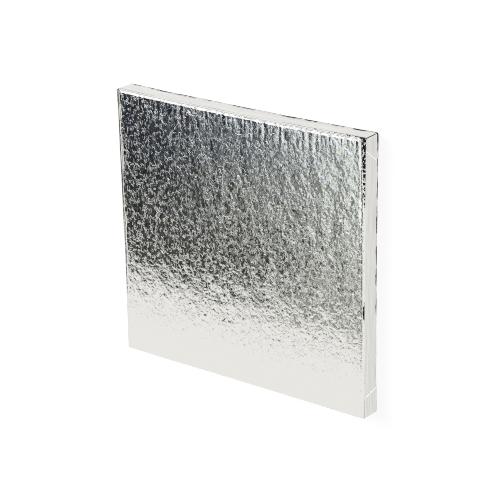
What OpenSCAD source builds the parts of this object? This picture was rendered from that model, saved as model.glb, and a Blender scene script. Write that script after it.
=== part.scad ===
// Vacuum insulation panel: a pressed core board sealed between two metallised barrier films.
// The panel lies on its back film. The welded flange is folded down over the four edge walls, and
// its spare corners are folded as ears onto the two short edge walls.
// Origin: middle of the footprint, on the ground. +Z is the front face, +Y its top edge.

/* [Panel] */
// Finished width, over the folded ears
panel_w = 320; // [150:1:600]
// Finished height, over the folded flaps
panel_h = 300; // [150:1:600]
// Finished thickness, over both films
panel_t = 25; // [18:0.5:40]
// Radius of the board's edges and corners under the film
edge_r = 2; // [1.5:0.5:5]

/* [Film] */
// Thickness of one barrier film
film_t = 0.15; // [0.1:0.05:0.3]
// Air left between a folded flap and the wall behind it
fold_slack = 0.5; // [0.1:0.05:0.8]
// Length of upright neck between the shoulder and the weld's root
neck_len = 1; // [0.5:0.1:4]
// Height of the flaps' cut edge above the ground
flap_lift = 1.5; // [0.5:0.25:4]

/* [Corner ears] */
// Width of an ear beside the weld's root
ear_root = 12; // [6:1:20]
// Slope of an ear's fold line from the wall's upright
ear_slope = 38; // [25:1:50]

/* [Hidden] */
ARC_STEPS = 6; // facets in a quarter turn of an edge
ROUND_STEPS = 48; // facets in a full turn of a corner, seen from above

// Layers, measured outward from the board's wall
flap_in = film_t + fold_slack; // inner face of a flap
flap_out = flap_in + 2 * film_t; // outer face of a flap
ear_step = 4 * film_t; // an ear is a doubled flange, so four films
ear_out = flap_out + ear_step;

core_w = panel_w - 2 * ear_out;
core_h = panel_h - 2 * flap_out;
axis_x = core_w / 2 - edge_r; // centres of the corners' arcs
axis_y = core_h / 2 - edge_r;
low_z = film_t + edge_r; // centre heights of the edges' arcs
high_z = panel_t - film_t - edge_r;
wall_r = edge_r + film_t; // outer face of a wall film, from an arc's centre
root_z = high_z - neck_len;
flap_len = root_z - flap_lift;
ear_foot = ear_root + flap_len * tan(ear_slope);

// Quarter turn of radius r in a cross-section, centred at height z.
function arc(z, r, from, to) = [
    for (i = [0:ARC_STEPS])
        let (a = from + (to - from) * i / ARC_STEPS) [r * cos(a), z + r * sin(a)]
];

// Carries a cross-section, drawn outward from the arcs' centre, once round the panel.
module round_the_edge() {
    for (half_turn = [0, 180])
        rotate(half_turn) {
            translate([axis_x, axis_y, 0]) rotate([90, 0, 0])
                linear_extrude(2 * axis_y) children();
            translate([-axis_x, axis_y, 0]) rotate([90, 0, 90])
                linear_extrude(2 * axis_x) children();
            for (corner = [0, 1])
                translate([corner == 0 ? axis_x : -axis_x, axis_y, 0]) rotate(90 * corner)
                    rotate_extrude(angle = 90, $fn = ROUND_STEPS) children();
        }
}

// A flat slab that fills the middle, between the arcs' centres.
module middle(z, t) {
    translate([-axis_x, -axis_y, z]) cube([2 * axis_x, 2 * axis_y, t]);
}

// Outline of the panel from above, k outward of the board's wall, and over more to each side.
module plan(k, over = 0) {
    half_w = axis_x + over;
    r = edge_r + k;
    square([2 * half_w, 2 * (axis_y + r)], center = true);
    square([2 * (half_w + r), 2 * axis_y], center = true);
    for (sx = [-1, 1], sy = [-1, 1])
        translate([sx * half_w, sy * axis_y]) circle(r, $fn = ROUND_STEPS);
}

// A layer of film that stands round the panel, from k outward, up to the height top.
module sleeve(k, over, top) {
    translate([0, 0, flap_lift]) linear_extrude(top - flap_lift) difference() {
        plan(k + film_t, over);
        plan(k, over);
    }
}

// A flat ring of film at the weld's root, from the wall outward to k.
module root_ring(z, k, over = 0) {
    translate([0, 0, z]) linear_extrude(film_t) difference() {
        plan(k, over);
        plan(0);
    }
}

// Ear in side view, from the corner's tangent line at 0. trim is taken off along the sloping
// fold, and lap is added past the tangent line.
module ear_outline(trim = 0, lap = 0, top = root_z) {
    cut = trim / cos(ear_slope);
    polygon([[-lap, flap_lift], [ear_foot - cut, flap_lift], [ear_root - cut, root_z],
             [ear_root - cut, top], [-lap, top]]);
}

// Stands one ear's side view upright at the four corners, from k outward and t thick.
module at_ears(k, t) {
    for (sx = [0, 1], sy = [0, 1])
        mirror([sx, 0, 0]) mirror([0, sy, 0])
            translate([core_w / 2 + k, axis_y, 0]) rotate([90, 0, -90]) mirror([0, 0, 1])
                linear_extrude(t) children();
}

// Two blocks that hold the long edges with the corners, from lap inside the tangent lines out.
module long_edges(lap = 0) {
    for (sy = [0, 1])
        mirror([0, sy, 0]) translate([-panel_w, axis_y - lap, 0])
            cube([2 * panel_w, panel_h, panel_t]);
}

// Keeps what lies at the long edges, round the corners and over the ears.
module keep_long_edges_and_ears(trim = 0) {
    intersection() {
        children();
        union() {
            long_edges(film_t);
            at_ears(0, 2 * ear_out) ear_outline(trim, film_t, root_z + film_t);
        }
    }
}

// One layer of the flap on each short edge, from k outward. lap is added at both ends.
module short_edge_flaps(k, lap, top) {
    for (sx = [0, 1])
        mirror([sx, 0, 0]) translate([core_w / 2 + k, -axis_y - lap, flap_lift])
            cube([film_t, 2 * (axis_y + lap), top - flap_lift]);
}

module core_board() {
    color("gainsboro") {
        middle(film_t, panel_t - 2 * film_t);
        round_the_edge()
            polygon(concat([[0, film_t]], arc(low_z, edge_r, -90, 0),
                           arc(high_z, edge_r, 0, 90)));
    }
}

// Face, shoulder and neck, out over the weld's root, and down as the flaps' outer layer. In an
// ear this film is the outside of the doubled flange, and closes it along the sloping fold.
module front_film() {
    leg_top = root_z + film_t;
    color("silver") {
        middle(panel_t - film_t, film_t);
        round_the_edge()
            polygon(concat(arc(high_z, wall_r, 90, 0), [[wall_r, root_z], [edge_r, root_z]],
                           arc(high_z, edge_r, 0, 90)));
        root_ring(root_z, flap_out);
        keep_long_edges_and_ears() {
            root_ring(root_z, flap_out, ear_step);
            sleeve(flap_out - film_t, ear_step, leg_top);
        }
        short_edge_flaps(flap_out - film_t, 0, leg_top);
        at_ears(flap_out - film_t / 2, 1.5 * film_t) ear_outline();
        at_ears(flap_out, ear_step - film_t / 2) difference() {
            ear_outline();
            ear_outline(film_t, film_t, leg_top);
        }
    }
}

// Back face and wall, out under the weld's root, and down as the flaps' inner layer. In an ear
// this film is the inside of the doubled flange, and turns back at the corner's tangent line.
module back_film() {
    color("darkgray") {
        middle(0, film_t);
        round_the_edge()
            polygon(concat(arc(low_z, edge_r, -90, 0), [[edge_r, root_z], [wall_r, root_z]],
                           arc(low_z, wall_r, 0, -90)));
        root_ring(root_z - film_t, flap_in + film_t);
        intersection() {
            root_ring(root_z - film_t, flap_in + film_t, ear_step);
            long_edges();
        }
        keep_long_edges_and_ears(film_t) sleeve(flap_in, ear_step, root_z);
        short_edge_flaps(flap_in, film_t, root_z);
        at_ears(flap_out + film_t, 1.5 * film_t) ear_outline(film_t, film_t);
        at_ears(flap_in + film_t / 2, ear_step) translate([-film_t, flap_lift])
            square([film_t, flap_len]);
    }
}

core_board();
front_film();
back_film();
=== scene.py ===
# Vacuum insulation panel: a pressed core board in two crinkled, metallised barrier films.
# The front face is up (+Z), its top edge is +Y and its right edge is +X. Lengths are in metres.
import math

import bpy
from mathutils import Matrix, Vector

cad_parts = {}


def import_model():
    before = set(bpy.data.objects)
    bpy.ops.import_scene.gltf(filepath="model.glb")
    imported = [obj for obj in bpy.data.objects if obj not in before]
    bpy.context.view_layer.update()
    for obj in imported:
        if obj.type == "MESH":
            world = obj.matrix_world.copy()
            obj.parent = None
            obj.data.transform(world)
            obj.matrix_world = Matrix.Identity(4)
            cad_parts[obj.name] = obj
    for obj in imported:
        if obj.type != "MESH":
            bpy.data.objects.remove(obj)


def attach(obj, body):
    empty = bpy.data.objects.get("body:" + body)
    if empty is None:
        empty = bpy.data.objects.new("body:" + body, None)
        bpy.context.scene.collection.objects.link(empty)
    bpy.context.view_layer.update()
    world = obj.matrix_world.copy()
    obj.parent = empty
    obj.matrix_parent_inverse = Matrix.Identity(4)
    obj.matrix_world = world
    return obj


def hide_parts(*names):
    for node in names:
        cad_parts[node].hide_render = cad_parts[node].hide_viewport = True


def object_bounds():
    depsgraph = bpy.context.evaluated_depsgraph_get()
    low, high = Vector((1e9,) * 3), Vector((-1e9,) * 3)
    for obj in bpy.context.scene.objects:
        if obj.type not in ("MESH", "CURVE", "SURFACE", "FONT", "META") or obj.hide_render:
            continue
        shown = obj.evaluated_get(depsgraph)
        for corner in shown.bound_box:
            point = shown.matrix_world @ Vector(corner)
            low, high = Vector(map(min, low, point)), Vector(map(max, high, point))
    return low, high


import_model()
cad_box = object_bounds()

MM = 0.001

# Sizes that the construction gives, worked inward from its outer box
HALF_W, HALF_H, THICKNESS = (abs(value) for value in cad_box[1])
FILM = 0.15 * MM  # one barrier film
EDGE_R = 1.3 * MM  # shoulder over the board's edge, at the film's outer face
FLAP_OUT = 0.95 * MM  # outer face of a flap, from the board's wall
EAR_STEP = 0.6 * MM  # how far an ear stands out from the flap behind it
FLAP_LIFT = 1.5 * MM  # cut edge of the flaps above the ground
AXIS_X = HALF_W - EAR_STEP - FLAP_OUT + FILM - EDGE_R  # centres of the shoulders' arcs
AXIS_Y = HALF_H - FLAP_OUT + FILM - EDGE_R
ROOT_Z = THICKNESS - 3.15 * MM  # root of the weld
NECK = THICKNESS - EDGE_R - ROOT_Z  # upright film between the shoulder and the root
FLAP_R = EDGE_R - FILM + FLAP_OUT  # outer face of a flap, round a corner
QUARTER = math.pi / 2
DRAWN_IN = 1.0 * MM  # how far the vacuum draws each edge in, half way along it
RIM = 0.3 * MM  # flat rim of the front film, out over the weld's root
CLEAR = 1.5 * MM  # room between the film's outer face and the board's slab
WALL_GAP = 12 * MM  # from the panel to the bright wall that its film mirrors

# Camera, solved from the panel's corners in the photograph
CAMERA_PLACE = Vector((1.1529, 0.6903, 1.4786))
CAMERA_AIM = Vector((-0.0003, -0.0058, 0.0030))
CAMERA_UP = Vector((-0.2009, 0.9372, -0.2851))
LENS = 137.06  # on Blender's 36 mm sensor

# Kinds of node and settings that come up often
MATH = "ShaderNodeMath"
VECTOR = "ShaderNodeVectorMath"
NOISE = "ShaderNodeTexNoise"
RANGE = "ShaderNodeMapRange"  # by number: value, from min, from max, to min, to max
MIX = "ShaderNodeMix"
APART = "ShaderNodeSeparateXYZ"
TOGETHER = "ShaderNodeCombineXYZ"
SMOOTH = {"interpolation_type": "SMOOTHSTEP"}
TIMES = {"operation": "MULTIPLY"}
COLOURS = {"out": 2, "data_type": "RGBA"}


def colour(text):
    """Linear colour of an sRGB hex value."""
    parts = [int(text[i : i + 2], 16) / 255 for i in (1, 3, 5)]
    return (*(p / 12.92 if p <= 0.04045 else ((p + 0.055) / 1.055) ** 2.4 for p in parts), 1)


def add(tree, kind, inputs=(), out=0, **settings):
    """Adds a node. inputs are values or other nodes' outputs, by socket number or name."""
    node = tree.nodes.new(kind)
    for name, value in settings.items():
        setattr(node, name, value)
    for name, value in inputs.items() if isinstance(inputs, dict) else enumerate(inputs):
        if isinstance(value, bpy.types.NodeSocket):
            tree.links.new(value, node.inputs[name])
        else:
            node.inputs[name].default_value = value
    return node.outputs[out] if node.outputs else None


# Shaping


def sheet_of_film(name, width, depth, columns, rows):
    """A flat grid round the origin, to be bent into shape."""
    bpy.ops.object.select_all(action="DESELECT")
    bpy.ops.mesh.primitive_grid_add(x_subdivisions=columns, y_subdivisions=rows, size=1)
    piece = bpy.context.active_object
    piece.name = piece.data.name = name
    piece.scale = (width, depth, 1)
    bpy.ops.object.transform_apply(location=False, rotation=False, scale=True)
    bpy.ops.object.shade_smooth()
    return piece


def geometry_tree():
    """An empty node tree that takes a mesh and gives one back."""
    tree = bpy.data.node_groups.new("shape", "GeometryNodeTree")
    for way in ("INPUT", "OUTPUT"):
        tree.interface.new_socket("Geometry", in_out=way, socket_type="NodeSocketGeometry")
    return tree


def apply_shape(piece, tree, place):
    """Moves every point to the place that the tree works out for it."""
    start = add(tree, "NodeGroupInput")
    moved = add(tree, "GeometryNodeSetPosition", {"Geometry": start, "Position": place})
    add(tree, "NodeGroupOutput", [moved])
    modifier = piece.modifiers.new("shape", "NODES")
    modifier.node_group = tree
    apply_modifier(piece, modifier)
    bpy.data.node_groups.remove(tree)


def apply_modifier(piece, modifier):
    """Turns a modifier into real points."""
    bpy.ops.object.select_all(action="DESELECT")
    bpy.context.view_layer.objects.active = piece
    piece.select_set(True)
    bpy.ops.object.modifier_apply(modifier=modifier.name)


def thicken(piece, thickness):
    """Gives a bent sheet its wall, inward."""
    modifier = piece.modifiers.new("wall", "SOLIDIFY")
    modifier.thickness = thickness
    modifier.offset = -1
    apply_modifier(piece, modifier)


def swap_xy(tree, vector):
    """Swaps across and up, and leaves height out."""
    apart = add(tree, APART, [vector]).node
    return add(tree, TOGETHER, [apart.outputs["Y"], apart.outputs["X"], 0.0])


def drawn_in(tree, place):
    """Draws the middle of each edge in, as the vacuum does, and the top edge most."""
    share = swap_xy(tree, add(tree, VECTOR, [place, (HALF_W, HALF_H, 1)], operation="DIVIDE"))
    square = add(tree, VECTOR, [share, share], **TIMES)
    upper = add(tree, VECTOR, [place, (0, 1 / HALF_H, 0)], **TIMES)
    most = (-0.6 * DRAWN_IN / HALF_W, -0.9 * DRAWN_IN / HALF_H, 0)
    more = (0, -0.6 * DRAWN_IN / HALF_H, 0)
    most = add(tree, VECTOR, [upper, more, most], operation="MULTIPLY_ADD")
    left = add(tree, VECTOR, [(1, 1, 1), square], operation="SUBTRACT")
    pull = add(tree, VECTOR, [left, most], **TIMES)
    return add(tree, VECTOR, [pull, place, place], operation="MULTIPLY_ADD")


def ripple(tree, place, size, height, stretch=(1, 1, 1), seed=0.0, **settings):
    """Height of a noise with bumps of one size, both in metres."""
    scaled = add(tree, VECTOR, [place, stretch], **TIMES)
    inputs = {"Vector": scaled, "Scale": 1 / size, "Detail": 2.0, "W": seed, **settings}
    value = add(tree, NOISE, inputs, noise_dimensions="4D")
    centred = add(tree, MATH, [value, 0.5], operation="SUBTRACT")
    return add(tree, MATH, [centred, height], **TIMES)


def crease(tree, place, size, height, stretch=(1, 1, 1), seed=0.0, **settings):
    """Sharp ridges along the lines where a noise crosses its middle."""
    bump = ripple(tree, place, size, 1.0, stretch, seed, **settings)
    fold = add(tree, MATH, [bump], operation="ABSOLUTE")
    return add(tree, MATH, [fold, -height], **TIMES)


def total(tree, values):
    """Adds up all values."""
    result = values[0]
    for value in values[1:]:
        result = add(tree, MATH, [result, value], operation="ADD")
    return result


def over_the_board(tree, flat, reach, wall, height):
    """Bends a flat sheet over the board's edges, down its walls and out at the weld's root.

    reach is how far the sheet goes past the arcs' centres, wall is how far it goes down the
    board's walls, and height is its crinkles' height.
    """
    side = add(tree, VECTOR, [flat], operation="SIGN")
    away = add(tree, VECTOR, [flat], operation="ABSOLUTE")
    inner = add(tree, VECTOR, [away, (AXIS_X, AXIS_Y, 0)], operation="MINIMUM")
    past = add(tree, VECTOR, [away, inner], operation="SUBTRACT")
    share = add(tree, VECTOR, {0: past, "Scale": 1 / reach}, operation="SCALE")
    other = swap_xy(tree, share)
    square = add(tree, VECTOR, [other, other], **TIMES)
    round_off = add(tree, VECTOR, [square, (-0.5, -0.5, 0), (1, 1, 1)], operation="MULTIPLY_ADD")
    root = add(tree, VECTOR, [round_off, (0.5, 0.5, 0.5)], operation="POWER")
    disc = add(tree, VECTOR, [share, root], **TIMES)
    length = add(tree, VECTOR, [disc], out="Value", operation="LENGTH")
    outward = add(tree, VECTOR, [disc], operation="NORMALIZE")
    along = add(tree, MATH, [length, reach], **TIMES)
    turned = add(tree, MATH, [along, 1 / EDGE_R], **TIMES)
    angle = add(tree, MATH, [turned, QUARTER], operation="MINIMUM")
    sine = add(tree, MATH, [angle], operation="SINE")
    cosine = add(tree, MATH, [angle], operation="COSINE")
    beyond = add(tree, MATH, [along, EDGE_R * QUARTER], operation="SUBTRACT")
    down_wall = add(tree, "ShaderNodeClamp", [beyond, 0.0, wall])
    left_over = add(tree, MATH, [beyond, wall], operation="SUBTRACT")
    out_at_root = add(tree, MATH, [left_over, 0.0], operation="MAXIMUM")
    arc_out = add(tree, MATH, [height, EDGE_R], operation="ADD")
    shoulder = add(tree, MATH, [sine, arc_out, out_at_root], operation="MULTIPLY_ADD")
    flat_place = add(tree, VECTOR, {0: outward, "Scale": shoulder}, operation="SCALE")
    corner = add(tree, VECTOR, [inner, flat_place], operation="ADD")
    spread = add(tree, VECTOR, [corner, side], **TIMES)
    rise = add(tree, MATH, [cosine, arc_out, THICKNESS - EDGE_R], operation="MULTIPLY_ADD")
    level = add(tree, MATH, [rise, down_wall], operation="SUBTRACT")
    lift = add(tree, TOGETHER, [0.0, 0.0, level])
    return add(tree, VECTOR, [spread, lift], operation="ADD")


def edit(piece):
    """Goes into edit mode with nothing chosen."""
    bpy.ops.object.select_all(action="DESELECT")
    piece.select_set(True)
    bpy.context.view_layer.objects.active = piece
    bpy.ops.object.mode_set(mode="EDIT")
    bpy.ops.mesh.select_mode(type="EDGE")
    bpy.ops.mesh.select_all(action="DESELECT")


def close_inside(piece, steps):
    """Closes a bent film with a smooth inner wall, in steps inward and up from its rim."""
    edit(piece)
    bpy.ops.mesh.select_non_manifold()
    for inset, up in steps:
        bpy.ops.mesh.extrude_edges_move()
        bpy.ops.transform.resize(value=(1 - inset / HALF_W, 1 - inset / HALF_H, 1))
        bpy.ops.transform.translate(value=(0, 0, up))
    bpy.ops.mesh.edge_face_add()
    bpy.ops.object.mode_set(mode="OBJECT")


def rim_distance(tree, flat):
    """How far a point of a flat sheet lies past the arcs' centres. It is negative inside them."""
    away = add(tree, VECTOR, [flat], operation="ABSOLUTE")
    past = add(tree, VECTOR, [away, (AXIS_X, AXIS_Y, 0)], operation="SUBTRACT")
    apart = add(tree, APART, [past]).node
    return add(tree, MATH, [apart.outputs["X"], apart.outputs["Y"]], operation="MAXIMUM")


def crinkles(tree, flat, seed, strength):
    """The shallow, sharp-edged crinkle that the vacuum presses into a film."""
    fine = {"Roughness": 0.6, "Distortion": 0.3}
    sharp = {"Roughness": 0.65, "Distortion": 0.5}
    return total(tree, [
        ripple(tree, flat, 3.0 * MM, 0.36 * MM * strength, seed=seed, **fine),
        crease(tree, flat, 4.3 * MM, 1.3 * MM * strength, seed=seed + 4, **sharp),
        crease(tree, flat, 22 * MM, 1.3 * MM * strength, (1, 0.7, 1), seed + 9, Distortion=0.8),
        ripple(tree, flat, 20 * MM, 0.9 * MM * strength, seed=seed + 2, Distortion=0.5),
        -0.2 * MM,
    ])


def film_blank(name, reach, cell):
    """A flat film, cut to reach past the arcs' centres."""
    width, depth = 2 * (AXIS_X + reach), 2 * (AXIS_Y + reach)
    return sheet_of_film(name, width, depth, round(width / cell), round(depth / cell))


def face_crinkles(tree, flat, x, y):
    """The front face's crinkles: deepest across the middle, and pleated below the top edge."""
    upper = add(tree, RANGE, [y, 130 * MM, 30 * MM, 0.7, 1.4], **SMOOTH)
    lower = add(tree, RANGE, [y, 0.0, -60 * MM, 1.0, 0.75], **SMOOTH)
    left = add(tree, RANGE, [x, -HALF_W, 40 * MM, 0.76, 1.0], **SMOOTH)
    depth = add(tree, MATH, [upper, lower], **TIMES)
    depth = add(tree, MATH, [depth, left], **TIMES)
    bumps = add(tree, MATH, [crinkles(tree, flat, 0.0, 1.0), depth], **TIMES)
    pleats = ripple(tree, flat, 5 * MM, 1.7 * MM, stretch=(1, 0.14, 1), seed=6.0)
    near_top = add(tree, RANGE, [y, AXIS_Y - 34 * MM, AXIS_Y], **SMOOTH)
    pleats = add(tree, MATH, [pleats, near_top], **TIMES)
    return total(tree, [bumps, pleats])


def edge_slopes(tree, flat, x, y):
    """How far the front film sinks beside its left, right and top shoulders.

    The slope is narrower and steeper on the left than on the right.
    """
    to_right = add(tree, RANGE, [x, -AXIS_X, AXIS_X], **SMOOTH)
    away = add(tree, MATH, [x], operation="ABSOLUTE")
    uneven = ripple(tree, flat, 18 * MM, 9 * MM, stretch=(0, 1, 1), seed=17.0)
    width = add(tree, RANGE, [to_right, 0.0, 1.0, 3 * MM, 4 * MM], **SMOOTH)
    start = add(tree, MATH, [AXIS_X, width], operation="SUBTRACT")
    side = add(tree, RANGE, [total(tree, [away, uneven]), start, AXIS_X], **SMOOTH)
    drop = add(tree, RANGE, [to_right, 0.0, 1.0, -1.1 * MM, -0.7 * MM], **SMOOTH)
    side = add(tree, MATH, [side, drop], **TIMES)
    up_again = add(tree, RANGE, [away, AXIS_X, AXIS_X + 2 * MM, 1.0, 0.0], **SMOOTH)
    side = add(tree, MATH, [side, up_again], **TIMES)
    width = add(tree, RANGE, [to_right, 0.0, 1.0, 1.6 * MM, 3 * MM], **SMOOTH)
    start = add(tree, MATH, [AXIS_Y, width], operation="SUBTRACT")
    top = add(tree, RANGE, [y, start, AXIS_Y, 0.0, -0.5 * MM], **SMOOTH)
    up_again = add(tree, RANGE, [y, AXIS_Y, AXIS_Y + 2 * MM, 1.0, 0.0], **SMOOTH)
    top = add(tree, MATH, [top, up_again], **TIMES)
    return total(tree, [side, top])


def front_face():
    """The front film over the face and the shoulders, crinkled all over."""
    reach = EDGE_R * QUARTER + NECK + RIM
    piece = film_blank("front_film_face", reach, 1.07 * MM)
    tree = geometry_tree()
    flat = add(tree, "GeometryNodeInputPosition")
    apart = add(tree, APART, [flat]).node
    x, y = apart.outputs["X"], apart.outputs["Y"]
    rim = rim_distance(tree, flat)
    calm = add(tree, RANGE, [rim, -4 * MM, 0.5 * MM, 1.0, 0.3], **SMOOTH)
    bumps = add(tree, MATH, [face_crinkles(tree, flat, x, y), calm], **TIMES)
    height = total(tree, [bumps, edge_slopes(tree, flat, x, y), -0.3 * MM])
    ended = add(tree, RANGE, [rim, reach - 2 * MM, reach - 0.7 * MM, 1.0, 0.0], **SMOOTH)
    height = add(tree, MATH, [height, ended], **TIMES)
    apply_shape(piece, tree, drawn_in(tree, over_the_board(tree, flat, reach, NECK, height)))
    # down the film's thickness, in under the rim, up the wall and in under the shoulder
    close_inside(piece, ((0, -FILM), (1.4 * MM, 0), (0.3 * MM, 0.6 * MM), (8 * MM, 1.2 * MM)))
    return piece


def back_face():
    """The back film over the back face and up the walls, behind the flaps.

    Its middle is sunk a little, so that the panel stands on its rim.
    """
    wall = ROOT_Z - FILM - EDGE_R
    reach = EDGE_R * QUARTER + wall
    piece = film_blank("back_film_face", reach, 1.5 * MM)
    tree = geometry_tree()
    flat = add(tree, "GeometryNodeInputPosition")
    rim = rim_distance(tree, flat)
    calm = add(tree, RANGE, [rim, -1 * MM, 3 * MM, 1.0, 0.3], **SMOOTH)
    bumps = add(tree, MATH, [crinkles(tree, flat, 31.0, 0.85), calm], **TIMES)
    sunk = add(tree, RANGE, [rim, -10 * MM, 0.0, -0.3 * MM, -0.12 * MM], **SMOOTH)
    ended = add(tree, RANGE, [rim, reach - 4 * MM, reach - 1 * MM, 1.0, 0.0], **SMOOTH)
    height = add(tree, MATH, [total(tree, [bumps, sunk]), ended], **TIMES)
    place = over_the_board(tree, flat, reach, wall, height)
    turned = add(tree, VECTOR, [place, (1, -1, -1), (0, 0, THICKNESS)], operation="MULTIPLY_ADD")
    apply_shape(piece, tree, drawn_in(tree, turned))
    # in at the rim, then down the wall to just over the back face
    close_inside(piece, ((0.9 * MM, 0), (0.2 * MM, 1.7 * MM - wall - EDGE_R)))
    return piece


# Folded flange

BEAD_R = 0.8 * MM  # fold at the weld's root
FLANGE = 0.3 * MM  # two welded films
BEAD_TOP = ROOT_Z + 0.3 * MM
LEFT_RISE = 2.4 * MM  # the left edge folds over further up
FLARE = 1.4 * MM  # last part before the cut edge, where a flap stands off again
FLAP_DEPTH = BEAD_R * QUARTER + BEAD_TOP - BEAD_R - FLAP_LIFT
FLAP_CELL = 1.1 * MM  # spacing of a flap's grid along the edge
FLAP_ROWS = 26  # cells from a flap's root to its cut edge


def flap_section(tree, flat, rise):
    """How far a flap lies in from its outer face, and its height, from its root to its cut edge.

    rise is how much further up its root folds.
    """
    place = add(tree, APART, [flat]).node
    down = add(tree, MATH, [FLAP_DEPTH / 2, place.outputs["Y"]], operation="SUBTRACT")
    edge = ripple(tree, flat, 26 * MM, 2.4 * MM, stretch=(1, 0, 0), seed=12.0)
    share = add(tree, MATH, [down, FLAP_DEPTH], operation="DIVIDE")
    down = total(tree, [down, add(tree, MATH, [edge, share], **TIMES)])
    turned = add(tree, MATH, [down, BEAD_R], operation="DIVIDE")
    angle = add(tree, MATH, [turned, QUARTER], operation="MINIMUM")
    sine = add(tree, MATH, [angle], operation="SINE")
    cosine = add(tree, MATH, [angle], operation="COSINE")
    bead = add(tree, MATH, [sine, BEAD_R, -BEAD_R], operation="MULTIPLY_ADD")
    straight = add(tree, MATH, [down, BEAD_R * QUARTER], operation="SUBTRACT")
    straight = add(tree, MATH, [straight, 0.0], operation="MAXIMUM")
    low = add(tree, MATH, [cosine, BEAD_R, BEAD_TOP - BEAD_R], operation="MULTIPLY_ADD")
    level = add(tree, MATH, [low, straight], operation="SUBTRACT")
    left = add(tree, MATH, [share, -1.0, 1.0], operation="MULTIPLY_ADD")
    level = add(tree, MATH, [left, rise, level], operation="MULTIPLY_ADD")
    waves = total(tree, [
        ripple(tree, flat, 60 * MM, 1.0 * MM, stretch=(1, 0.6, 1), seed=3.0),
        ripple(tree, flat, 7 * MM, 0.3 * MM, stretch=(1, 0.25, 1), seed=8.0),
        ripple(tree, flat, 3 * MM, 0.1 * MM, seed=5.0),
    ])
    waves = total(tree, [waves, -0.25 * MM])
    waves = add(tree, "ShaderNodeClamp", [waves, -0.5 * MM, 0.0])
    start = FLAP_DEPTH - FLARE
    tucked = add(tree, RANGE, [down, start - 3 * MM, start, 0.0, 0.35 * MM], **SMOOTH)
    flared = add(tree, MATH, [down, start], operation="SUBTRACT")
    flared = add(tree, MATH, [flared, 0.0], operation="MAXIMUM")
    flare = add(tree, MATH, [flared, 0.45, waves], operation="MULTIPLY_ADD")
    flare = add(tree, MATH, [flare, tucked], operation="SUBTRACT")
    flare = add(tree, MATH, [flare, 0.0], operation="MINIMUM")
    return total(tree, [bead, flare]), level, down


def flap_run(left_ear, right_ear):
    """Length of the strip that makes a long edge's flap and both its ears."""
    return 2 * (AXIS_X + EAR_STEP + FLAP_R * QUARTER + max(*left_ear, *right_ear))


def long_edge_flap(name, side, left_ear, right_ear):
    """The flap of one long edge, with the ear that it forms on the short edge at each end.

    side is 1 at the top edge and -1 at the bottom one. An ear is given by its width at the
    weld's root and its width at the cut edge.
    """
    straight = AXIS_X + EAR_STEP
    turn = FLAP_R * QUARTER
    widest = max(*left_ear, *right_ear)
    run = flap_run(left_ear, right_ear)
    piece = sheet_of_film(name, run, FLAP_DEPTH, round(run / FLAP_CELL), FLAP_ROWS)
    tree = geometry_tree()
    flat = add(tree, "GeometryNodeInputPosition")
    along = add(tree, APART, [flat]).node.outputs["X"]
    rise = LEFT_RISE if side > 0 else 0.0
    at_left = add(tree, RANGE, [along, -straight, -straight - turn, 0.0, rise], **SMOOTH)
    inward, level, down = flap_section(tree, flat, at_left)
    sign = add(tree, MATH, [along], operation="SIGN")
    away = add(tree, MATH, [along], operation="ABSOLUTE")
    middle = add(tree, MATH, [away, straight], operation="MINIMUM")
    past = add(tree, MATH, [away, middle], operation="SUBTRACT")
    turned = add(tree, MATH, [past, FLAP_R], operation="DIVIDE")
    angle = add(tree, MATH, [turned, QUARTER], operation="MINIMUM")
    on_ear = add(tree, MATH, [past, turn], operation="SUBTRACT")
    on_ear = add(tree, MATH, [on_ear, 0.0], operation="MAXIMUM")
    ear_side = add(tree, RANGE, [sign, -1.0, 1.0], **SMOOTH)
    at_root = add(tree, MIX, [ear_side, (0, 0, 0), left_ear[0], right_ear[0]],
                  data_type="FLOAT")
    at_edge = add(tree, MIX, [ear_side, (0, 0, 0), left_ear[1], right_ear[1]],
                  data_type="FLOAT")
    share = add(tree, MATH, [down, FLAP_DEPTH], operation="DIVIDE")
    width = add(tree, MIX, [share, (0, 0, 0), at_root, at_edge], data_type="FLOAT")
    ear = add(tree, MATH, [on_ear, 1 / widest], **TIMES)
    ear_run = add(tree, MATH, [ear, width], **TIMES)
    fold = add(tree, RANGE, [ear, 0.9, 1.0, 0.0, FLANGE - EAR_STEP], **SMOOTH)
    radius = total(tree, [inward, fold, FLAP_R])
    sine = add(tree, MATH, [angle], operation="SINE")
    cosine = add(tree, MATH, [angle], operation="COSINE")
    across = add(tree, MATH, [sine, radius, middle], operation="MULTIPLY_ADD")
    out = add(tree, MATH, [cosine, radius, AXIS_Y], operation="MULTIPLY_ADD")
    out = add(tree, MATH, [out, ear_run], operation="SUBTRACT")
    across = add(tree, MATH, [across, sign], **TIMES)
    out = add(tree, MATH, [out, side], **TIMES)
    place = add(tree, TOGETHER, [across, out, level])
    apply_shape(piece, tree, drawn_in(tree, place))
    face_outward(piece, flip=side > 0)
    thicken(piece, FLANGE)
    return piece


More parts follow.
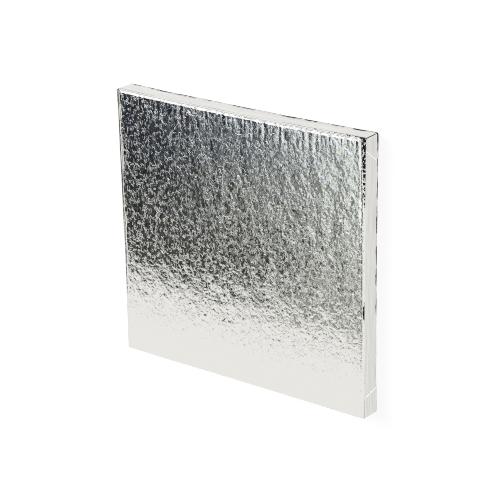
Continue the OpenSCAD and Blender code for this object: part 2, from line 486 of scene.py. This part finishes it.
def short_edge_flap(name, side):
    """The flap of one short edge, under the ears. side is 1 at the right and -1 at the left."""
    run = 2 * AXIS_Y
    piece = sheet_of_film(name, run, FLAP_DEPTH, round(run / FLAP_CELL), FLAP_ROWS)
    tree = geometry_tree()
    flat = add(tree, "GeometryNodeInputPosition")
    # its waves come from another stretch of the noise than the long flaps' do
    shifted = add(tree, VECTOR, [flat, (side * HALF_H, 0, 0.5)], operation="ADD")
    along = add(tree, APART, [flat]).node.outputs["X"]
    rise = LEFT_RISE if side < 0 else 0.0
    rise = add(tree, RANGE, [along, -110 * MM, 60 * MM, 0.0, rise], **SMOOTH)
    inward, level, _ = flap_section(tree, shifted, rise)
    out = total(tree, [inward, HALF_W - EAR_STEP])
    out = add(tree, MATH, [out, side], **TIMES)
    place = add(tree, TOGETHER, [out, along, level])
    apply_shape(piece, tree, drawn_in(tree, place))
    face_outward(piece, flip=side < 0)
    thicken(piece, FLANGE)
    return piece


def face_outward(piece, flip):
    """Turns the sheet over, if its inner side faces out."""
    if flip:
        edit(piece)
        bpy.ops.mesh.select_all(action="SELECT")
        bpy.ops.mesh.flip_normals()
        bpy.ops.object.mode_set(mode="OBJECT")


def core_slab():
    """The pressed board inside the films, a little smaller than they are."""
    width, depth = 2 * (AXIS_X + EDGE_R - CLEAR), 2 * (AXIS_Y + EDGE_R - CLEAR)
    size = (width, depth, THICKNESS - 3.8 * MM)
    bpy.ops.object.select_all(action="DESELECT")
    bpy.ops.mesh.primitive_cube_add(size=1, location=(0, 0, THICKNESS / 2), scale=size)
    piece = bpy.context.active_object
    piece.name = piece.data.name = "core_board_slab"
    bpy.ops.object.transform_apply()
    edit(piece)
    bpy.ops.mesh.select_all(action="SELECT")
    bpy.ops.mesh.subdivide(number_cuts=60)
    bpy.ops.mesh.select_all(action="DESELECT")
    bpy.ops.mesh.edges_select_sharp(sharpness=1.0)
    bpy.ops.mesh.bevel(offset=0.6 * MM, segments=2, affect="EDGES")
    bpy.ops.object.mode_set(mode="OBJECT")
    tree = geometry_tree()
    place = add(tree, "GeometryNodeInputPosition")
    normal = add(tree, "GeometryNodeInputNormal")
    pressed = ripple(tree, place, 30 * MM, 0.4 * MM, seed=1.0)
    push = add(tree, VECTOR, {0: normal, "Scale": pressed}, operation="SCALE")
    level = add(tree, APART, [place]).node.outputs["Z"]
    outer = add(tree, RANGE, [rim_distance(tree, place), -13 * MM, -2 * MM], **SMOOTH)
    half, top = THICKNESS / 2, THICKNESS - 3 * MM
    lower = add(tree, RANGE, [level, half, top, 0.0, -1.0 * MM], **SMOOTH)
    lower = add(tree, MATH, [outer, lower], **TIMES)
    lower = add(tree, TOGETHER, [0.0, 0.0, lower])
    place = add(tree, VECTOR, [place, push], operation="ADD")
    place = add(tree, VECTOR, [place, lower], operation="ADD")
    apply_shape(piece, tree, drawn_in(tree, place))
    return piece


# Finishes


def material(name):
    """A material with an empty node tree, and the tree."""
    made = bpy.data.materials.new(name)
    made.use_nodes = True
    made.node_tree.nodes.clear()
    return made, made.node_tree


def film_finish(tree, base, painted_shade, low, high, bump):
    """Aluminium under clear polymer, between two roughnesses; where painted shade lies it turns
    dark.
    """
    place = add(tree, "ShaderNodeTexCoord", out="Object")
    haze = add(tree, NOISE, {"Vector": place, "Scale": 1 / (25 * MM), "Detail": 3.0})
    rough = add(tree, RANGE, {"Value": haze, "To Min": low, "To Max": high})
    rough = add(tree, MIX, [painted_shade, (0, 0, 0), rough, 0.5], data_type="FLOAT")
    # painted shade: where the mask lies, the film's colour turns near black
    tone = add(tree, MIX, {"Factor": painted_shade, 6: base, 7: colour("#1E1F1C")}, **COLOURS)
    shader = add(tree, "ShaderNodeBsdfPrincipled", {
        "Base Color": tone, "Metallic": 1.0, "Roughness": rough, "Normal": bump})
    add(tree, "ShaderNodeOutputMaterial", {"Surface": shader})


def film_creases(tree, place, y):
    """Fine crease lines, 3 mm apart and leaning, with a few long ones across the face.

    They run along the edges of warped cells. They are shallower near the top edge, and nearly
    gone at the lower edge.
    """
    wander = add(tree, NOISE, {"Vector": place, "Scale": 1 / (6 * MM), "Detail": 3.0},
                 out="Color")
    warped = add(tree, VECTOR, [wander, (9 * MM, 9 * MM, 9 * MM), place],
                 operation="MULTIPLY_ADD")
    lean = add(tree, "ShaderNodeMapping", {
        "Vector": warped, "Rotation": (0, 0, -0.9), "Scale": (1, 0.38, 1)})
    cells = add(tree, "ShaderNodeTexVoronoi", {"Vector": lean, "Scale": 1 / (3.2 * MM)},
                feature="DISTANCE_TO_EDGE")
    line = add(tree, RANGE, [cells, 0.0, 0.16, 1.0, 0.0], **SMOOTH)
    broken = add(tree, NOISE, {"Vector": place, "Scale": 1 / (5 * MM), "Detail": 1.0})
    broken = add(tree, RANGE, [broken, 0.4, 0.6], **SMOOTH)
    line = add(tree, MATH, [line, broken], **TIMES)
    far_cells = add(tree, "ShaderNodeTexVoronoi", {"Vector": lean, "Scale": 1 / (34 * MM)},
                    feature="DISTANCE_TO_EDGE")
    long_line = add(tree, RANGE, [far_cells, 0.0, 0.025, 1.3, 0.0], **SMOOTH)
    here = add(tree, NOISE, {"Vector": place, "Scale": 1 / (45 * MM)})
    here = add(tree, RANGE, [here, 0.5, 0.56], **SMOOTH)
    long_line = add(tree, MATH, [long_line, here], **TIMES)
    grain = add(tree, NOISE, {"Vector": place, "Scale": 1 / (1.6 * MM), "Detail": 0.0})
    height = total(tree, [line, long_line])
    height = add(tree, MATH, [grain, 0.25, height], operation="MULTIPLY_ADD")
    upper = add(tree, RANGE, [y, 0.0, 140 * MM, 1.0, 0.6], **SMOOTH)
    lower = add(tree, RANGE, [y, -135 * MM, -70 * MM, 0.25, 1.0], **SMOOTH)
    for share in (upper, lower):
        height = add(tree, MATH, [height, share], **TIMES)
    return add(tree, "ShaderNodeBump", {
        "Strength": 1.0, "Distance": 0.11 * MM, "Height": height})


def painted_fold_shade(tree, place, x, y):
    """Painted shade: dark marks in the sharp folds along the shoulders.

    The marks are a broad, broken band at the upper right, a short gap below the middle of the
    right shoulder, a thin broken line beside it, and thin lines along the top and the bottom.
    """
    ragged = add(tree, NOISE, {"Vector": place, "Scale": 1 / (3.5 * MM), "Detail": 2.0})
    ragged = add(tree, RANGE, [ragged, 0.3, 0.7, -1.1 * MM, 1.1 * MM])
    calmer = add(tree, MATH, [ragged, 0.3], **TIMES)
    calmest = add(tree, MATH, [ragged, 0.15], **TIMES)

    flecks = add(tree, NOISE, {"Vector": place, "Scale": 1 / (2.2 * MM), "Detail": 1.0})
    level = add(tree, RANGE, [y, 60 * MM, 100 * MM, 0.5, 0.42], **SMOOTH)
    flecks = add(tree, MATH, [flecks, level], operation="SUBTRACT")
    solid = add(tree, RANGE, [flecks, -0.02, 0.01], **SMOOTH)
    broken = add(tree, RANGE, [flecks, -0.02, 0.02], **SMOOTH)

    wider = add(tree, RANGE, [y, 60 * MM, 90 * MM, -1.5 * MM, 0.5 * MM], **SMOOTH)
    widest = add(tree, RANGE, [y, 105 * MM, 125 * MM, 0.0, 0.9 * MM], **SMOOTH)
    band = total(tree, [x, wider, widest, ragged])
    band = add(tree, RANGE, [band, HALF_W - 2.1 * MM, HALF_W - 1.9 * MM], **SMOOTH)
    band = add(tree, MATH, [band, solid], **TIMES)

    from_middle = add(tree, MATH, [y, 33 * MM], operation="ADD")
    from_middle = add(tree, MATH, [from_middle], operation="ABSOLUTE")
    taper = add(tree, RANGE, [from_middle, 2 * MM, 16 * MM, 0.4 * MM, -0.9 * MM], **SMOOTH)
    gap = total(tree, [x, calmer, taper])
    gap = add(tree, RANGE, [gap, HALF_W - 2.4 * MM, HALF_W - 1.9 * MM], **SMOOTH)
    length = add(tree, MATH, [y, -35 * MM, 17 * MM], operation="COMPARE")
    gap = add(tree, MATH, [length, gap], **TIMES)

    beside = add(tree, MATH, [total(tree, [x, calmer]), HALF_W - 4.2 * MM, 0.5 * MM],
                 operation="COMPARE")
    beside = add(tree, MATH, [beside, broken], **TIMES)
    length = add(tree, RANGE, [y, -98 * MM, -88 * MM, 0.0, 0.8], **SMOOTH)
    beside = add(tree, MATH, [beside, length], **TIMES)

    to_right = add(tree, RANGE, [x, 30 * MM, 80 * MM, -2.0 * MM, -0.3 * MM], **SMOOTH)
    top = total(tree, [y, to_right, ragged])
    top = add(tree, RANGE, [top, HALF_H - 1.4 * MM, HALF_H - 1.1 * MM], **SMOOTH)

    bottom = total(tree, [y, calmest])
    bottom = add(tree, RANGE, [bottom, 1.9 * MM - HALF_H, 1.7 * MM - HALF_H, 0.0, 0.5],
                 **SMOOTH)
    length = add(tree, RANGE, [x, -130 * MM, -80 * MM], **SMOOTH)
    bottom = add(tree, MATH, [bottom, length], **TIMES)

    # every one of these marks is painted shade
    marks = band
    for mark in (gap, beside, bottom, top):
        marks = add(tree, MATH, [marks, mark], operation="MAXIMUM")
    return marks


def metallised_film():
    """Vacuum-metallised polymer film: a thin coat of aluminium under clear, smooth polymer.

    It mirrors like foil with a faint haze. The vacuum presses it on to the board in fine
    creases, which are drawn coarser than the finest real ones. The broken dark lines where it
    folds sharply at the shoulders are painted shade.
    """
    made, tree = material("metallised_film")
    place = add(tree, "ShaderNodeTexCoord", out="Object")
    apart = add(tree, APART, [place]).node
    x, y = apart.outputs["X"], apart.outputs["Y"]
    bump = film_creases(tree, place, y)
    # painted shade in the folds along the shoulders
    painted_shade = painted_fold_shade(tree, place, x, y)
    film_finish(tree, colour("#E8E8E7"), painted_shade, 0.06, 0.14, bump)
    return made


# Studio


def camera():
    """The camera that took the photograph."""
    lens = bpy.data.cameras.new("camera")
    lens.lens = LENS
    eye = bpy.data.objects.new("camera", lens)
    bpy.context.collection.objects.link(eye)
    back = (CAMERA_PLACE - CAMERA_AIM).normalized()
    right = CAMERA_UP.cross(back).normalized()
    turn = Matrix((right, back.cross(right), back)).transposed()
    eye.matrix_world = Matrix.Translation(CAMERA_PLACE) @ turn.to_4x4()
    bpy.context.scene.camera = eye


def plane(name, place, turn, width, depth):
    """A flat piece of the studio, which is no part of the object."""
    bpy.ops.object.select_all(action="DESELECT")
    bpy.ops.mesh.primitive_plane_add(size=1, location=place, rotation=turn)
    piece = bpy.context.active_object
    piece.name = name
    piece.scale = (width, depth, 1)
    bpy.ops.object.transform_apply(location=True, rotation=True, scale=True)
    return piece


def floor():
    """White studio paper, a smooth matt sheet.

    Camera, mirrors and glass see it lit to white, with the object's shadow.
    """
    piece = plane("floor", (0, 0, 0), (0, 0, 0), 14, 14)
    made, tree = material("white_paper")
    ray = add(tree, "ShaderNodeLightPath").node
    seen = add(tree, MATH, [ray.outputs["Is Camera Ray"], ray.outputs["Is Glossy Ray"]],
               operation="MAXIMUM")
    seen = add(tree, MATH, [seen, ray.outputs["Is Transmission Ray"]], operation="MAXIMUM")
    paper = add(tree, "ShaderNodeBsdfDiffuse", {"Color": colour("#E6E6E6")})
    glow = add(tree, "ShaderNodeEmission", {"Color": colour("#FFFFFF"), "Strength": 0.9})
    shade = add(tree, "ShaderNodeBsdfDiffuse", {"Color": colour("#575757")})
    lit = add(tree, "ShaderNodeAddShader", [glow, shade])
    both = add(tree, "ShaderNodeMixShader", [seen, paper, lit])
    add(tree, "ShaderNodeOutputMaterial", {"Surface": both})
    piece.data.materials.append(made)


def world():
    """White all round. It lights the object less than mirrors show it."""
    made = bpy.data.worlds.new("world")
    bpy.context.scene.world = made
    made.use_nodes = True
    tree = made.node_tree
    tree.nodes.clear()
    ray = add(tree, "ShaderNodeLightPath").node
    seen = add(tree, MATH, [ray.outputs["Is Camera Ray"], ray.outputs["Is Glossy Ray"]],
               operation="MAXIMUM")
    seen = add(tree, MATH, [seen, ray.outputs["Is Transmission Ray"]], operation="MAXIMUM")
    strength = add(tree, RANGE, [seen, 0.0, 1.0, 0.45, 1.0], **SMOOTH)
    shader = add(tree, "ShaderNodeBackground", {"Color": colour("#FFFFFF"), "Strength": strength})
    add(tree, "ShaderNodeOutputWorld", {"Surface": shader})


def lamps():
    """One big soft lamp behind the panel, to the upper left."""
    place = Vector((-1.1, 0.9, 1.9))
    bpy.ops.object.light_add(type="AREA", location=place,
                             rotation=place.to_track_quat("Z", "Y").to_euler())
    lamp = bpy.context.active_object
    lamp.name = "softbox"
    lamp.data.size = 1.2
    lamp.data.energy = 60
    lamp.visible_glossy = False


def hide_from_all_but_mirrors(piece):
    """Leaves a piece of the studio to be seen in mirrors alone."""
    piece.visible_camera = piece.visible_diffuse = piece.visible_shadow = False
    piece.visible_transmission = False


def glowing(tree, tint, strength):
    """A surface that gives light by itself."""
    shader = add(tree, "ShaderNodeEmission", {"Color": tint, "Strength": strength})
    add(tree, "ShaderNodeOutputMaterial", {"Surface": shader})


def reflector():
    """What the mirror-bright film sees beside the camera, as a wall at the face's lower edge.

    White paper stands on the floor, and above it the room gets brighter to the right and up.
    """
    place = (-0.2, -HALF_H - WALL_GAP, 0.6)
    piece = plane("studio_wall", place, (QUARTER, 0, 0), 2.4, 1.2)
    made, tree = material("studio_wall")
    place = add(tree, "ShaderNodeTexCoord", out="Object")
    apart = add(tree, APART, [place]).node
    across, up = apart.outputs["X"], apart.outputs["Z"]

    steeper = add(tree, MATH, [up, 1.56, 1.08], operation="MULTIPLY_ADD")
    above = add(tree, MATH, [up, 2.56], **TIMES)
    above = add(tree, MATH, [across, steeper, above], operation="MULTIPLY_ADD")
    patch = add(tree, NOISE, {"Vector": place, "Scale": 13.0, "Detail": 1.0})
    patch = add(tree, RANGE, [patch, 0.45, 0.55, -0.3, 0.3], **SMOOTH)
    above = total(tree, [above, patch, -0.228])
    above = add(tree, "ShaderNodeClamp", [above, 0.17, 1.08])
    above = add(tree, MATH, [above, 2.2], operation="POWER")

    paper = add(tree, RANGE, [up, 0.205, 0.275, 1.0, 0.0], **SMOOTH)
    aside = add(tree, MATH, [across, 0.8, up], operation="MULTIPLY_ADD")
    aside = add(tree, RANGE, [aside, -0.2, -0.13, 1.0, 0.0], **SMOOTH)
    paper = add(tree, MATH, [paper, aside], operation="MAXIMUM")
    light = add(tree, MIX, [paper, (0, 0, 0), above, 1.0], data_type="FLOAT")

    cooler = add(tree, NOISE, {"Vector": place, "Scale": 14.0, "Detail": 1.0})
    cooler = add(tree, RANGE, [cooler, 0.4, 0.6, -0.5, 0.5], **SMOOTH)
    by_height = add(tree, RANGE, [up, 0.3, 0.6], **SMOOTH)
    by_side = add(tree, RANGE, [across, -0.65, -0.35, 0.0, -1.2], **SMOOTH)
    cooler = total(tree, [cooler, by_height, by_side])
    cooler = add(tree, "ShaderNodeClamp", [cooler, 0.0, 1.0])
    warm, cool, white = colour("#FBFFF2"), colour("#C4DCFF"), colour("#FFFDF9")
    tint = add(tree, MIX, {"Factor": cooler, 6: warm, 7: cool}, **COLOURS)
    tint = add(tree, MIX, {"Factor": paper, 6: tint, 7: white}, **COLOURS)
    glowing(tree, tint, light)
    piece.data.materials.append(made)
    hide_from_all_but_mirrors(piece)


def room():
    """Grey, mottled walls further off, which the film sees from other sides."""
    made, tree = material("studio_room")
    place = add(tree, "ShaderNodeTexCoord", out="Object")
    up = add(tree, APART, [place]).node.outputs["Z"]
    patch = add(tree, NOISE, {"Vector": place, "Scale": 3.0, "Detail": 1.0})
    patch = add(tree, RANGE, [patch, 0.4, 0.6, -0.25, 0.25], **SMOOTH)
    light = add(tree, RANGE, [up, 0.1, 1.0, 0.15, 0.6], **SMOOTH)
    light = total(tree, [light, patch])
    light = add(tree, "ShaderNodeClamp", [light, 0.05, 1.0])
    glowing(tree, colour("#FFFFFF"), light)
    box = plane("studio_softbox", (-1.1, 0.55, 1.5), (0, 0, 0), 1.0, 1.7)
    made_box, tree = material("studio_softbox")
    glowing(tree, colour("#FFFFFF"), 1.3)
    box.data.materials.append(made_box)
    hide_from_all_but_mirrors(box)
    for name, place, turn, depth in (
        ("studio_right", (1.4, 0.3, 0.6), (QUARTER, 0, QUARTER), 1.2),
        ("studio_left", (-1.45, 0.3, 0.6), (QUARTER, 0, QUARTER), 1.2),
        ("studio_far", (0, 1.4, 0.6), (QUARTER, 0, 0), 1.2),
        ("studio_ceiling", (0, 0, 1.6), (0, 0, 0), 3),
    ):
        piece = plane(name, place, turn, 3, depth)
        piece.data.materials.append(made)
        hide_from_all_but_mirrors(piece)


# The panel


def pressed_silica():
    """Fumed silica powder, pressed into a board: a dead matt, chalky white.

    Its grain is drawn coarser than the powder.
    """
    made, tree = material("pressed_silica")
    place = add(tree, "ShaderNodeTexCoord", out="Object")
    grain = add(tree, NOISE, {"Vector": place, "Scale": 1 / (2 * MM), "Detail": 4.0})
    dark, pale = colour("#D8D8D3"), colour("#EEEEEA")
    tone = add(tree, MIX, {"Factor": grain, 6: dark, 7: pale}, **COLOURS)
    bump = add(tree, "ShaderNodeBump", {"Strength": 0.6, "Distance": 0.2 * MM, "Height": grain})
    shader = add(tree, "ShaderNodeBsdfPrincipled", {
        "Base Color": tone, "Roughness": 0.92, "Normal": bump})
    add(tree, "ShaderNodeOutputMaterial", {"Surface": shader})
    return made


def painted_flap_shade(tree, place, strip, fold):
    """Painted shade on a flap: dark marks at its cut edge, at the left flap's root, and in a
    sharp fold.
    """
    apart = add(tree, APART, [strip]).node
    along, depth = apart.outputs["X"], apart.outputs["Y"]
    apart = add(tree, APART, [place]).node
    y, z = apart.outputs["Y"], apart.outputs["Z"]
    ragged = add(tree, NOISE, {"Vector": place, "Scale": 1 / (14 * MM), "Detail": 2.0})
    ragged = add(tree, RANGE, [ragged, 0.35, 0.65, -0.04, 0.05])

    cut = add(tree, MATH, [depth, ragged], operation="SUBTRACT")
    cut = add(tree, RANGE, [cut, 0.02, 0.035, 1.0, 0.0], **SMOOTH)
    here = add(tree, RANGE, [y, -45 * MM, -25 * MM], **SMOOTH)
    cut = add(tree, MATH, [cut, here], **TIMES)

    # the left flap's root, on the side of it that faces out, darkened as painted shade
    left = add(tree, MATH, [ragged, 0.5], **TIMES)
    left = total(tree, [y, left])
    left = add(tree, RANGE, [left, 50 * MM, 80 * MM], **SMOOTH)
    high = add(tree, RANGE, [z, 23.3 * MM, 23.6 * MM], **SMOOTH)
    left = add(tree, MATH, [left, high], **TIMES)
    normal = add(tree, "ShaderNodeNewGeometry", out="Normal")
    facing = add(tree, APART, [normal]).node.outputs["X"]
    facing = add(tree, RANGE, [facing, -0.4, -0.6], **SMOOTH)
    left = add(tree, MATH, [left, facing], **TIMES)

    marks = add(tree, MATH, [cut, left], operation="MAXIMUM")
    if fold:
        # painted shade in the sharp fold round the board's corner
        near = add(tree, MATH, [ragged, 0.02, along], operation="MULTIPLY_ADD")
        near = add(tree, MATH, [near, 1 - fold, 0.0012], operation="COMPARE")
        marks = add(tree, MATH, [marks, near], operation="MAXIMUM")
    return marks


def welded_film(name, fold=None):
    """The same metallised film, heat-welded in two layers, then folded down.

    It is stiffer and smoother, with a soft sheen in streaks along the edge, which are drawn
    coarser than real. Painted shade darkens its ragged cut edge, the left flap's root, and the
    sharp fold round a corner of the board, which lies at this share of the strip's length
    from its end. The strip's own ends are painted white, as a painted highlight.
    """
    made, tree = material(name)
    place = add(tree, "ShaderNodeTexCoord", out="Object")
    strip = add(tree, "ShaderNodeTexCoord", out="UV")
    along = add(tree, APART, [strip]).node.outputs["X"]
    grain = add(tree, NOISE, {"Vector": place, "Scale": 1 / (4 * MM), "Detail": 3.0})
    bump = add(tree, "ShaderNodeBump", {"Strength": 1.0, "Distance": 0.05 * MM, "Height": grain})
    streak = add(tree, VECTOR, [place, (25, 25, 330)], **TIMES)
    streak = add(tree, NOISE, {"Vector": streak, "Scale": 1.0})
    streak = add(tree, RANGE, [streak, 0.3, 0.7], **SMOOTH)
    grey, pale, white = colour("#DAD8D5"), colour("#E6E4E0"), colour("#FFFFFF")
    tone = add(tree, MIX, {"Factor": streak, 6: grey, 7: pale}, **COLOURS)
    # painted highlight: the strip's ends, at the ears' folds, are painted white
    end_highlight = add(tree, MATH, [along, 0.5], operation="SUBTRACT")
    end_highlight = add(tree, MATH, [end_highlight], operation="ABSOLUTE")
    end_highlight = add(tree, RANGE, [end_highlight, 0.4955, 0.4965], **SMOOTH)
    tone = add(tree, MIX, {"Factor": end_highlight, 6: tone, 7: white}, **COLOURS)
    # painted shade at the flap's cut edge, left root and fold
    painted_shade = painted_flap_shade(tree, place, strip, fold)
    film_finish(tree, tone, painted_shade, 0.12, 0.22, bump)
    return made


def dress(piece, finish, node):
    """Gives a piece its finish, hangs it on the root body, and hides the solid that it stands in
    for.
    """
    piece.data.materials.append(finish)
    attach(piece, "root")
    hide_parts(node)


bpy.context.scene.view_settings.view_transform = "Standard"
bpy.context.scene.cycles.use_denoising = False
bpy.context.scene.cycles.filter_width = 1.0
camera()
world()
lamps()
floor()
reflector()
room()

film = metallised_film()
flange = welded_film("welded_film")
dress(front_face(), film, "front_film")
dress(back_face(), film, "back_film")
dress(short_edge_flap("flap_left", -1), flange, "front_film")
dress(short_edge_flap("flap_right", 1), flange, "front_film")
top_ears = ((14 * MM, 30 * MM), (12 * MM, 28 * MM))
bottom_ears = ((11 * MM, 26 * MM), (22 * MM, 27 * MM))
top_fold = 0.5 - (AXIS_X + EAR_STEP + FLAP_R * QUARTER / 2) / flap_run(*top_ears)
folded = welded_film("welded_film_folded", top_fold)
dress(long_edge_flap("flap_top", 1, *top_ears), folded, "front_film")
dress(long_edge_flap("flap_bottom", -1, *bottom_ears), flange, "front_film")
dress(core_slab(), pressed_silica(), "core_board")
